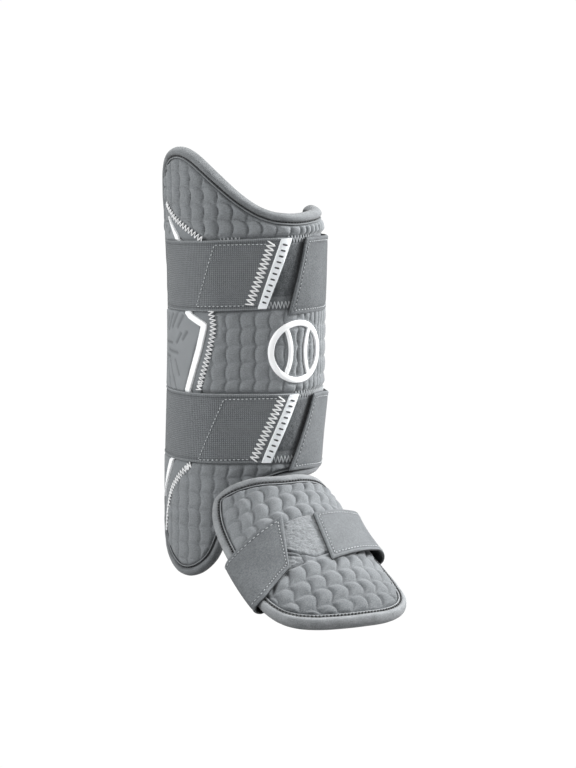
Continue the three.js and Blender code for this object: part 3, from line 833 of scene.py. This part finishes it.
def under_straps(u, v, reach=4):
    """How far a place on the shin lies under a strap or its landing, 0 to 1."""
    found = np.zeros(np.shape(u))
    for strap in STRAPS.values():
        away = np.abs(v - strap_middle(strap, angle_of(u))) - STRAP_WIDTH / 2
        found = np.maximum(found, 1 - blur(away, -1, reach))
    return found


def sunk(u, v, extra, reach=4):
    """Depth of a place on the shin under a strap."""
    return under_straps(u, v, reach) * (press(angle_of(u), v) + extra)


def under_shield(u, v):
    """How far a place on the shin lies under the side shield, 0 to 1."""
    ends = blur(u, shield_from - 4.5, shield_from - 1.5) * (1 - blur(u, shield_to, shield_to + 3))
    return blur(inside(shield_outline, u, v), -5.5, -2.5) * ends


def bar_bow(y):
    """Distance of the emblem's bars from its middle."""
    return 6 + 5.5 * (y / 20) ** 2


def emblem_gap(u, v):
    """Distance of a place from the strokes of the emblem."""
    x, y = round_of(EMBLEM_ANGLE) - u, v - EMBLEM_HEIGHT
    ring = np.abs(np.hypot(x, y) - EMBLEM_RADIUS)
    bars = np.abs(np.abs(x) - bar_bow(y)) + 99 * (np.abs(y) > EMBLEM_BAR)
    return np.minimum(ring, bars)


def painted_rim_shade(rim):
    """Painted shade of the padding by its distance from the edge: dark in the crevice beside the tape."""
    return 0.1 + 0.9 * blur(rim, 5.7, 7.5)


u, v = grid_over(shin_outline, 301, 301)
rim = distance_to(shin_loop, u, v)
gathered = np.where(u < 0, INNER_GATHER * u, u) + 0.35 * noise(u, v, 12, 6)
risen = v + 0.6 * noise(u, v, 12, 7)
top = np.zeros(u.shape)
for lowest, start_u, start_v, wide, tall, bow, arch, level, domed in QUILT_BANDS:
    band = cells(gathered - start_u, risen - start_v, wide, tall, bow, arch, 0.9, level, domed)
    top = np.where(v > lowest, band, top)
top *= 1 + 0.15 * noise(u, v, 9, 4)
covered = under_straps(u, v)
free = (1 - covered) * (1 - under_shield(u, v)) * blur(rim, 6.0, 8.2)
swell = lerp(1.7, 2.4, blur(v, 60, 80))
puff = (0.05 + swell * top * free + 0.25 * free * noise(u, v, 14, 3)) * blur(rim, 4, 7)
flat = 1 - blur(emblem_gap(u, v), 2.4, 5)
puff = lerp(puff, np.minimum(puff, 0.6), flat)
puff -= sunk(u, v, 0.1) + 0.9 * blur(-u, 20, 42) * (1 - covered) * blur(rim, 7, 14)
# Painted shade in the quilting's grooves and in the crevice beside the tape
painted_shading = (0.68 + 0.32 * lerp(1.0, blur(top, 0.02, 0.4), free)) * painted_rim_shade(rim)
# Painted light at the top of the shin towards its inner side, and painted shade there towards its outer
# side
painted_shading *= lerp(1, lerp(0.93, 1.3, blur(-u, -40, 8)), blur(v, 80, 92))
back = -WALL + 0.15 * noise(u, v, 20, 5)
shell = sheet("shin_shell_padding", shin, u, v, puff, back, painted_shading, 6)
shell.make(quilt_cloth, "quilt", ["shin_shell"], lining=lining_cloth)


def bind(name, surface, loop, cloth, replaces, wide=1.0, raised=0.0):
    """Rolled edge tape with a stitched groove and a folded lip on both faces of a shell."""
    profile = np.array(TAPE_FRONT + [(into, -WALL - off) for into, off in TAPE_FRONT[-2::-1]])
    into, off = profile.T
    way = left_of(np.roll(loop, -1, axis=0) - np.roll(loop, 1, axis=0))
    along = np.arange(len(loop)) * np.linalg.norm(loop[1] - loop[0])
    pucker = 0.18 * noise(along, 0, 5, 8) + 0.12 * noise(along, 0, 17, 9)
    wide = np.broadcast_to(wide, len(loop))[:, None]
    raised = np.broadcast_to(raised, len(loop))[:, None]
    reach = into + (wide - 1) * np.clip(into, 0, TAPE_BODY)
    u, v = (loop[:, k, None] + reach * way[:, k, None] for k in (0, 1))
    facing = np.where(off > -WALL / 2, 1, -1)
    roll = np.clip(1 - np.abs(into - 2.5) / 4, 0, 1) * facing
    groove = 1 - blur(np.abs(into - TAPE_GROOVE), 0.4, 0.7)
    lift = off + raised * groove * facing + pucker[:, None] * roll
    # Painted light and shade across the tape; a raised groove gets less painted shade
    shade = np.interp(into, *zip(*TAPE_LIGHT_AND_SHADE)) + 0.26 * raised * groove
    piece = Piece(name)
    piece.sweep(surface(u, v, lift), along[:, None], lengths(profile), shade)
    made = piece.make(cloth, "edge_tape", replaces, sharp=75)
    stitches = Piece(name + "_stitches")
    path = loop + (TAPE_GROOVE + (wide - 1) * TAPE_BODY) * way
    path = np.vstack([path, path[:1]])
    for depth in (raised.max() - 0.25, -WALL - 0.85):
        sewn(stitches, surface, [path], depth, 2.4, 1.5, 0.48 + 0.25 * raised.max())
    stitches.make(dark_thread, "edge_tape")
    return made


bind("shin_edge_tape", shin, shin_loop, tape_cloth, ["shin_binding"])

# Side shield: cloth border, moulded panel, stripe and zigzag seams
u, v = grid_over(shield_outline, 60, 90)
edge = np.minimum(inside(shield_outline, u, v), np.minimum(u - shield_from + 3, shield_to - u + 3))
height = 0.75 + 0.45 * blur(edge, 0, 2.5) + 0.06 * noise(u, v, 9, 12)
low = sunk(u, v, 0)
border = sheet("shield_border", shin, u, v, height - low, 0.1 - low, 0.55 + 0.45 * blur(edge, 0, 2))
border.make(border_cloth, "shield", ["side_shield"])

stripe_at = curve([(z, round_of(angle)) for z, angle in STRIPE])
panel_rear = curve([(z, round_of(angle)) for z, angle in PANEL_REAR])
v = np.linspace(-103, 93, 280)[:, None]
front = stripe_at(v) + 2.4
rear = np.maximum(panel_rear(v), front + 1.5)
u = lerp(front, rear, np.linspace(0, 1, 80))
v = v * np.ones(80)
edge = np.minimum(np.minimum(u - front, rear - u), np.minimum(v - v[0], v[-1] - v))
cut = np.zeros(u.shape)
for angle, z, length, tilt in PANEL_CUTS:
    x, y = u - round_of(angle), v - z
    along = x * math.cos(math.radians(tilt)) + y * math.sin(math.radians(tilt))
    aside = y * math.cos(math.radians(tilt)) - x * math.sin(math.radians(tilt))
    cut = np.maximum(cut, bell(aside, 0, 1.1) * (1 - blur(np.abs(along), length - 1.2, length)))
cut *= blur(edge, 2, 4)
height = 1.35 + 0.9 * blur(edge, 0, 2.2) - 0.9 * cut
low = sunk(u, v, 0.4, 1.5)
# Painted shade at the panel's edges and in its moulded grooves
tone = 0.35 + 0.65 * blur(edge, 0, 1.8) - 0.42 * cut
panel = sheet("shield_panel", shin, u, v, height - low, 0.9 - low, tone)
panel.make(panel_plastic, "shield", sharp=50)

line = on_leg([(angle, z) for z, angle in STRIPE])
legs = (resample(line[: STRIPE_BEND + 1], 1.0), resample(line[STRIPE_BEND:], 1.0)[1:])
middle = np.vstack(legs)
side = left_of(np.gradient(middle, axis=0))
count = np.arange(len(middle))
taper = blur(count, 0, 26) * blur(count[::-1], 0, 22) * 0.85 + 0.15
half = STRIPE_WIDTH / 2 * taper[:, None] * np.array([-1, -0.94, -0.82, 0, 0.82, 0.94, 1])
u, v = (middle[:, k, None] + half * side[:, k, None] for k in (0, 1))
height = 1.3 + 1.4 * np.array([0, 0.8, 1, 1, 1, 0.8, 0])
low = sunk(u, v, 0.6, 1.5)
stripe = sheet("shield_trim_stripe", shin, u, v, height - low, 1.0 - low)
stripe.make(white_plastic, "white_trim", ["shield_stripe"], sharp=28)

seams = Piece("shield_zigzag_seam")
for rows in SHIELD_SEAMS:
    even = np.linspace(0, 1, len(rows))
    fine = np.linspace(0, 1, 40)
    path = np.stack([curve(zip(even, column))(fine) for column in on_leg(rows).T], -1)
    zigzag(seams, shin, [path], 1.0, 4.8, 2.9, 0.41)
    zigzag(seams, shin, [path[:4], path[-4:]], 1.2, 4.0, 2.3, 0.3)
seams.make(white_thread, "white_trim")

# Places across a strap as shares of its width, closer at its edges, and what varies across it
EDGE_SHARES = np.array([0, 0.008, 0.022, 0.038, 0.055, 0.075])
ACROSS = np.concatenate([EDGE_SHARES, np.linspace(0.12, 0.88, 17), 1 - EDGE_SHARES[::-1]])
EDGE_MM = np.minimum(ACROSS, 1 - ACROSS) * STRAP_WIDTH
SELVAGE = 0.4 * bell(EDGE_MM, 0.9, 0.7) - 0.3 * bell(EDGE_MM, 2.4, 0.7)
EDGE_ROUND = 0.65 * bell(EDGE_MM, 0, 0.35)
# Painted highlight on a strap's rim, and painted shade in the groove inside its selvage
STRAP_RIM_LIGHT_AND_SHADE = 0.8 * bell(EDGE_MM, 0, 1.1) - 0.4 * bell(EDGE_MM, 2.4, 0.7)


def strap_top(angle):
    return strap_lift(angle) + STRAP_THICK


def on_strap(u, v, off):
    """Point above a strap's outer face."""
    return on_bed(u, v, strap_top(angle_of(u)) + off)


def strap_height(strap, angle, share):
    """Height on a strap, at a share of its width."""
    return strap_middle(strap, angle) + (share - 0.5) * STRAP_WIDTH


def tab_height(strap, start, angle, share):
    """Height on a strap's tab, at a share of its width; the tab sits lower than the strap."""
    drop = lerp(*strap["drop"], blur(start - angle, 8, 50))
    return strap_middle(strap, angle) - drop + (share - 0.5) * TAB_WIDTH


def tab_base(start, angle, share):
    """Lift of a strap tab: its free edge and its upper corner at the inner side stand off."""
    tilt = 3.6 * (share - 0.5) * blur(-angle, 22, 48) * (1 - blur(-angle, 64, 78))
    return tab_lift(start - angle) + tilt


def landing(name, strap):
    """Loop patch under a strap: dark pile with a lighter sewn border."""
    angle = np.linspace(*LANDING_TURN, 80)[:, None]
    height = np.linspace(-0.5, 0.5, 60) * (STRAP_WIDTH + 3)
    u, v = round_of(angle), strap_middle(strap, angle) + height
    border = np.maximum(blur(height, 19, 20), blur(-height, 15.6, 16.6))
    rise = 0.85 + (0.35 + 0.12 * noise(u, v, 1.7, 21)) * (1 - border)
    shade = lerp(0.45 + 0.1 * noise(u, v, 3, 22), 1.6, border)
    loops = sheet(name + "_loop_landing", on_bed, u, v, rise, 0.1, shade)
    loops.make(dark_pile, "dark_loop", [name + "_landing"])
    rows = []
    for height, first, last in strap["sewn"]:
        angles = np.linspace(first, last, 60)
        rows.append(pairs(round_of(angles), strap_middle(strap, angles) + height))
    sewing = zigzag(Piece(name + "_landing_zigzag"), on_bed, rows, 1.1, 5.2, 2.6, 0.36)
    sewing.make(grey_thread, "dark_loop")


def elastic(name, strap):
    """Elastic band with its dashed box seam and white zigzag."""
    start = lerp(*strap["end"], ACROSS)
    angle = lerp(start, STRAP_TURN, np.linspace(0, 1, 190)[:, None])
    u, v = round_of(angle), strap_height(strap, angle, ACROSS)
    base = strap_lift(angle) + 0.12 * noise(u, v, 16, 31)
    outer = base + STRAP_THICK + SELVAGE - EDGE_ROUND - 0.9 * bell(u, u[:1], 0.5)
    band = sheet(name + "_elastic_strap", on_bed, u, v, outer, base - 0.2, 0.42 + STRAP_RIM_LIGHT_AND_SHADE)
    band.make(strap_elastic, "elastic", [name + "_strap"])
    (upper, top), (lower, bottom) = strap["box"]
    rows = [
        [(upper, top), (lower, bottom)],
        [(upper, top), (strap["seam"][0][0] + 3, top + 0.8)],
        [(lower, bottom), (strap["seam"][1][0] + 3, bottom + 0.8)],
    ]
    paths = [on_leg(row) for row in rows]
    dashes = sewn(Piece(name + "_strap_dashes"), on_strap, paths, 0.1, 2.7, 1.6, 0.34)
    dashes.make(dash_thread, "elastic")
    seam = zigzag(Piece(name + "_strap_zigzag"), on_strap, [on_leg(strap["seam"])], 0.0, 6.2, 3.3, 0.54)
    seam.make(white_thread, "white_label")


def woven_label(name, strap):
    """Woven label at the slanted end of a strap, with plain bars."""

    def angle_at(share, across):
        return lerp(*strap["end"], share) + LABEL_START + lerp(*LABEL_ANGLE, share) * across

    share = np.linspace(0.012, 0.988, 60)[:, None]
    across = np.linspace(0, 1, 14)
    angle = angle_at(share, across)
    u, v = round_of(angle), strap_height(strap, angle, share)
    edge = np.minimum(across, 1 - across) * lerp(*LABEL_ANGLE, share)
    height = strap_top(angle) + 0.3 + 0.35 * blur(edge, 0, 0.5) - 0.12 * bell(edge, 1.1, 0.3)
    shade = 0.5 + 0.5 * blur(edge, 0, 0.5)
    label = sheet(name + "_woven_label", on_bed, u, v, height, strap_top(angle) - 0.1, shade)
    label.make(label_cloth, "white_label", [name + "_label"])
    bars = Piece(name + "_label_bars")
    radius = 0.62
    for share in np.linspace(0.1, 0.9, 11):
        angle = angle_at(share, np.linspace(0.28, 0.72, 7))
        u, v = round_of(angle), strap_height(strap, angle, share) + np.linspace(-0.5, 0.5, 7)
        bars.thread(on_strap, u, v, radius, radius, 6)
    bars.make(dark_thread, "white_label")


def strap_tab(name, strap):
    """Smooth tab at the free end of a strap, with its stitches and the hooks under its free edge."""
    low, high = strap["tab"]
    along = np.concatenate([np.linspace(0, 0.08, 22)[:-1], np.linspace(0.08, 1, 110)])[:, None]
    start = lerp(low, high, ACROSS)
    angle = lerp(start, TAB_END, along)
    u, v = round_of(angle), tab_height(strap, start, angle, ACROSS)
    base = tab_base(start, angle, ACROSS) + curl(angle, v)
    near = np.minimum(EDGE_MM, u[:1] - u)
    sink = 0.35 * bell(near, TAB_INSET, 0.6) + 0.8 * bell(near, 0, 0.4) - 0.2 * bell(near, 1.3, 0.9)
    # Painted highlight along the tab's folded edge, and painted shade where it sinks and in its stitched
    # groove
    tone = strap["tone"] - 0.4 * sink + 0.35 * bell(near, 0, 0.9) - 0.2 * bell(near, TAB_INSET, 0.7)
    skin = sheet(name + "_strap_tab", on_bed, u, v, base + TAB_THICK - sink, base, tone)
    skin.make(tab_skin, "tab", [name + "_tab"])

    def on_tab(u, v, off):
        """Point above the tab's outer face."""
        angle = angle_of(u)
        share = np.clip((v - tab_height(strap, low, angle, 0.5)) / TAB_WIDTH + 0.5, 0, 1)
        lift = tab_base(lerp(low, high, share), angle, share) + curl(angle, v)
        return bed(angle, v, lift + TAB_THICK + off)

    rows = []
    for share in (TAB_INSET / TAB_WIDTH, 1 - TAB_INSET / TAB_WIDTH):
        begin = lerp(low, high, share)
        angles = np.linspace(begin - 3.4, TAB_END, 60)
        rows.append(pairs(round_of(angles), tab_height(strap, begin, angles, share)))
    rows.append(np.array([rows[0][0], rows[1][0]]))
    sewn(Piece(name + "_tab_stitches"), on_tab, rows, -0.25, 2.8, 1.5, 0.35).make(tab_thread, "tab")
    share = np.linspace(0.02, 0.98, 40)
    begin = lerp(low, high, share)
    row = pairs(round_of(begin) - 0.1, tab_height(strap, begin, begin, share))
    hooks = sewn(Piece(name + "_tab_hook_edge"), on_tab, [row], -TAB_THICK - 0.7, 1.25, 0.75, 0.5)
    hooks.make(dark_thread, "tab")


# Calf straps with their landings, labels, tabs and seams
for name, strap in STRAPS.items():
    landing(name, strap)
    elastic(name, strap)
    woven_label(name, strap)
    strap_tab(name, strap)

# Front emblem: ring with two bowed bars
emblem = Piece("shin_ball_emblem")
middle = round_of(EMBLEM_ANGLE)
across, height = np.array(EMBLEM_RING).T
turn = np.linspace(0, 2 * np.pi, 97)[:-1, None]
u = middle - (EMBLEM_RADIUS + across) * np.cos(turn)
v = EMBLEM_HEIGHT + (EMBLEM_RADIUS + across) * np.sin(turn)
emblem.sweep(shin(u, v, height), u, v)
across, height = np.array(EMBLEM_STROKE).T
y = np.linspace(-EMBLEM_BAR, EMBLEM_BAR, 50)[:, None]
for way in (-1, 1):
    u, v = middle - way * bar_bow(y) + across, EMBLEM_HEIGHT + y
    emblem.slab(shin(u, v, height), shin(u, v, 0.15), u, v)
emblem.make(white_plastic, "white_trim", ["front_emblem"], sharp=50)

# Foot guard
foot_outline = edges(FOOT_EDGE)
foot_loop = edge_loop(foot_outline)
patch_outline = edges(PATCH_EDGE)
flap_outline = edges(FLAP_EDGE)


def foot_wide(along):
    """Width of the foot's edge tape against the usual one, wider at the rear."""
    return lerp(1.42, 0.92, blur(along, 15, 110))


u, v = grid_over(foot_outline, 201, 201)
rim = distance_to(foot_loop, u, v) - (foot_wide(v) - 1) * TAPE_BODY
wide = lerp(10.3, 11.6, blur(v, 20, 110))
across = u + 4.4 + 0.09 * (v - 70) + 0.9 * noise(u, v, 10, 44)
down = v + 0.17 * u - 29.7 + 0.9 * noise(u, v, 10, 45)
top = cells(across, down, wide, 12.54, 3.0, -1.2, 1.4, 0.42, 0.62, 0.28) * (1 + 0.25 * noise(u, v, 8, 43))
flat = blur(inside(patch_outline, u, v), -2, 1) * blur(u, -38, -35) * (1 - blur(u, 29, 32))
corner = blur(inside(flap_outline, u, v), -2, 0.5) * (1 - blur(u, -13, -11.5))
free = (1 - np.maximum(flat, corner)) * blur(rim, 6.0, 8.0)
puff = (0.05 + 2.3 * top * free + 0.35 * free * noise(u, v, 11, 41)) * blur(rim, 4, 7)
# Painted shade in the quilting's grooves and in the crevice beside the tape
painted_shading = (0.76 + 0.24 * lerp(1.0, blur(top, 0.05, 0.5), free)) * painted_rim_shade(rim)
# Painted shade, darker towards the toe
painted_shading *= lerp(1.03, 0.55, blur(v, 66, 128))
back = -WALL + 0.15 * noise(u, v, 20, 42)
shell = sheet("foot_shell_padding", foot, u, v, puff, back, painted_shading, 5)
shell.make(foot_cloth, "quilt", ["foot_shell"], lining=lining_cloth)
wide = foot_wide(foot_loop[:, 1])
shallow = 0.95 * blur(foot_loop[:, 1], 12, 40)
bind("foot_edge_tape", foot, foot_loop, foot_tape, ["foot_binding"], wide, shallow)


def tufted(piece, outline, counts, base, swell, tone, seed, last=np.inf):
    """Part of the foot's loop patch, with soft edges at its rear and front and at the last place aside."""
    u, v = grid_over(outline, *counts)
    edge = np.minimum(inside(outline, u, v), last - u)
    rough = 0.28 * noise(u, v, 1.5, seed) + 0.2 * noise(u, v, 4, seed + 1)
    height = base + swell * blur(edge, 0, 1.6) + rough
    piece.slab(foot(u, v, height), foot(u, v, 0.1), u, v, tone + 0.4 * blur(edge, 0, 1.2))


# Loop patch on the foot
patch = Piece("foot_loop_patch")
tufted(patch, patch_outline, (110, 70), 0.5, 1.15, 0.6, 51)
tufted(patch, flap_outline, (40, 40), 0.8, 0.9, 0.55, 53, FLAP_EDGE[-1][0])
patch.make(light_pile, "light_loop", ["foot_landing"])


def half_width(side):
    """Distance of the foot guard's edge from its ridge, by place along it."""
    rows = []
    for aside, *ends in FOOT_EDGE:
        if side * aside > 0:
            rows += [(along, side * aside) for along in ends if 4 < along < 125]
    return curve(sorted(rows))


def smooth_path(points, count):
    """Curves through rows of points, at even steps between their ends."""
    gaps = np.linalg.norm(np.diff(points, axis=0), axis=-1).mean(axis=1)
    at = np.concatenate([[0], np.cumsum(gaps)])
    fine = np.linspace(0, at[-1], count)
    columns = points.reshape(len(points), -1).T
    found = np.stack([curve(zip(at, column))(fine) for column in columns], -1)
    return found.reshape(count, *points.shape[1:])


def foot_tab(name, tab):
    """Smooth tab on the foot, folded round the guard's edge; gives back the folded end of both faces."""
    side, lift = tab["side"], tab["lift"]
    share = np.linspace(0, 1, 41)
    aside, along = (lerp(tab["rear"][k], tab["front"][k], share) for k in (0, 1))
    fold = lerp(*tab["fold"], share)
    edge = half_width(side)(fold)

    def run_to(place):
        """Place along the foot of the tab's straight edges, by the distance from the ridge."""
        return lerp(along, fold, np.clip((place - aside) / (edge - aside), 0, 1))

    faces = []
    for layer in (1, 2):
        rows = []
        for t in np.linspace(0, 1, 7):
            place = lerp(aside, edge + FOLD_TURN[0][0], t)
            rows.append(foot(side * place, run_to(place), FOLD_TURN[0][layer] + lift * t * t))
        for k, turn in enumerate(FOLD_TURN[1:], 1):
            past, spread = turn[0], turn[3] * (layer - 1)
            raised = lift * max(0, 1 - 0.25 * k)
            out = edge + past + spread + 0.5 * raised
            rows.append(foot(side * out, run_to(edge + past), turn[layer] + raised))
        faces.append(smooth_path(np.array(rows), 120))
    inner, outer = faces
    length = lengths(outer[:, 20])
    width = np.linalg.norm(outer[:, -1] - outer[:, 0], axis=1)
    wide = share * width[:, None]
    near = np.minimum(np.minimum(wide, width[:, None] - wide), length[:, None])
    sink = 0.35 * bell(near, FOOT_INSET, 0.7) + 0.8 * bell(near, 0, 0.5) - 0.15 * bell(near, 1.4, 0.9)
    # Painted highlight along the tab's folded edge, and painted shade where it sinks and in its stitched
    # groove
    tone = tab["tone"] + 0.35 * bell(near, 0, 0.9) - 0.4 * sink - 0.25 * bell(near, FOOT_INSET, 0.7)
    normal = unit(outer - inner)
    skin = Piece(name + "_skin")
    skin.slab(outer - sink[..., None] * normal, inner, length[:, None], wide, tone)
    skin.make(foot_tab_skin, "tab", [name])

    def on_skin(u, v, off):
        """Point above the tab's outer face, by its place along and across the tab."""
        row = np.interp(u, length, np.arange(len(length)))
        column = np.clip(v / np.interp(u, length, width), 0, 1) * 40
        i, j = np.clip(row.astype(int), 0, 118), np.clip(column.astype(int), 0, 39)
        s, t = (row - i)[..., None], (column - j)[..., None]

        def between(grid):
            return lerp(lerp(grid[i, j], grid[i + 1, j], s), lerp(grid[i, j + 1], grid[i + 1, j + 1], s), t)

        return between(outer) + between(normal) * np.asarray(off)[..., None]

    run = np.linspace(FOOT_INSET, 0.74 * length[-1], 60)
    far = np.interp(run, length, width) - FOOT_INSET
    rows = [pairs(run, FOOT_INSET), pairs(run, far), pairs(FOOT_INSET, [FOOT_INSET, far[0]])]
    sewn(Piece(name + "_stitches"), on_skin, rows, -0.2, 2.9, 1.6, 0.34).make(tab_thread, "tab")
    return inner[-1], outer[-1]


# Foot tabs and the strap under the foot
outer_end, inner_end = (foot_tab(name, tab) for name, tab in FOOT_TABS.items())
t = np.linspace(0, 1, 60)[:, None, None]
faces = []
for start, end, above in zip(outer_end, inner_end, (2, 0)):
    gap = (0.8 / np.linalg.norm(end - start, axis=1))[:, None]
    points = lerp(start, end, lerp(gap, 1 - gap, t))
    drop = np.maximum(0, (start[:, 2] + end[:, 2]) / 2 - FLOOR - above)
    points[..., 2] -= drop * (4 * t * (1 - t))[..., 0]
    faces.append(points)
sole = Piece("sole_webbing_strap")
sole.slab(faces[1], faces[0], np.linspace(0, 110, 60)[:, None], np.linspace(0, 45, 41), 0.8)
sole.make(sole_webbing, "sole_webbing", ["sole_strap"])

# Soft tongue behind the ankle gap
share = np.linspace(0, 1, 31)
angle, aside = lerp(-2, 34, share), lerp(16, -16, share)
faces = []
for under in (TONGUE_THICK, 0):
    seat, clear = -TONGUE_SEAT - under, -TONGUE_CLEAR - under
    start, end = leg(angle, -84, clear), foot(aside, 16, clear)
    a, b = start - 16 * up_way, end - 13 * ridge_way
    rows = [leg(angle, -55, seat), leg(angle, -72, clear)]
    for t in (0, 0.2, 0.4, 0.6, 0.8):
        rows.append((1 - t) ** 3 * start + 3 * t * (1 - t) ** 2 * a + 3 * t * t * (1 - t) * b + t**3 * end)
    rows += [end, foot(aside, 26, seat), foot(aside, 38, seat)]
    faces.append(smooth_path(np.array(rows), 70))
tongue = Piece("ankle_tongue_cloth")
tongue.slab(faces[1], faces[0], np.linspace(0, 100, 70)[:, None], 36 * share, 0.6)
tongue.make(tape_cloth, "edge_tape", ["ankle_tongue"])
